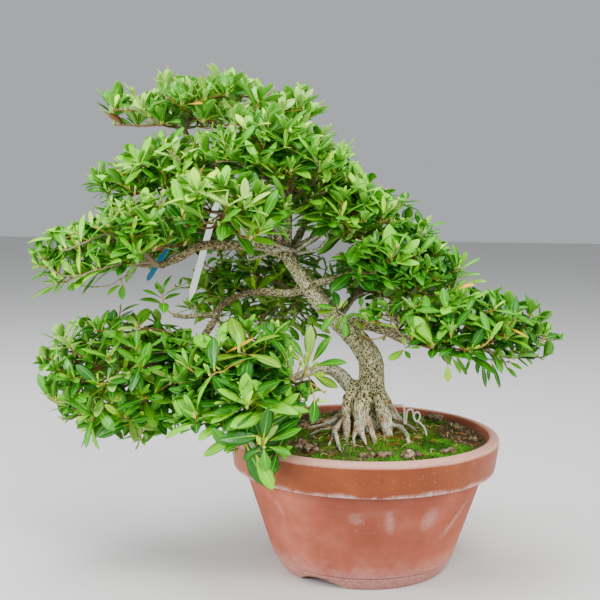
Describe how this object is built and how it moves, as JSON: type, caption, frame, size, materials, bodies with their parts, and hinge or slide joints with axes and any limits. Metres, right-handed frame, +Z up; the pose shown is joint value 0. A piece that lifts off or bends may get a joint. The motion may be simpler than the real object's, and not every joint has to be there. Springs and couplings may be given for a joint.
{
  "type": "bonsai tree",
  "caption": "Azalea trained as an informal upright bonsai: a leaning flared trunk, bare boughs and open tiers of leaves, in a low round terracotta training pot with a broad collar.",
  "frame": {"origin": "on the floor, under the middle of the whole object's box; the pot's own axis stands at x 0.081, y -0.004", "axes": "+X to the right seen from the front, away from the side the trunk bends to, along the longest side; +Y from the front to the back; +Z up"},
  "size_m": [0.5308, 0.3224, 0.5092],
  "materials": {
    "terracotta": "matte",
    "potting_mix": "matte",
    "bark": "matte",
    "foliage": "satin",
    "white_label": "satin",
    "blue_label": "satin",
    "tie_wire": "satin"
  },
  "bodies": {
    "root": {"pot": "terracotta", "soil": "potting_mix", "trunk": "bark", "left_bough": "bark", "apex_bough": "bark", "crown_bough": "bark", "shoulder_bough": "bark", "back_top_bough": "bark", "back_left_bough": "bark", "front_bough": "bark", "second_bough": "bark", "right_upper_bough": "bark", "right_bough": "bark", "low_front_bough": "bark", "low_left_bough": "bark", "spur_bough": "bark", "back_low_bough": "bark", "back_right_bough": "bark", "right_stub": "bark", "apex_leaves": "foliage", "second_leaves": "foliage", "crown_leaves": "foliage", "shoulder_leaves": "foliage", "left_leaves": "foliage", "front_leaves": "foliage", "right_leaves": "foliage", "right_low_leaves": "foliage", "low_left_leaves": "foliage", "low_front_leaves": "foliage", "spur_leaves": "foliage", "back_low_leaves": "foliage", "back_right_leaves": "foliage", "back_left_leaves": "foliage", "back_top_leaves": "foliage", "white_label": "white_label", "blue_label": "blue_label", "tie_wire": "tie_wire"}
  },
  "joints": []
}
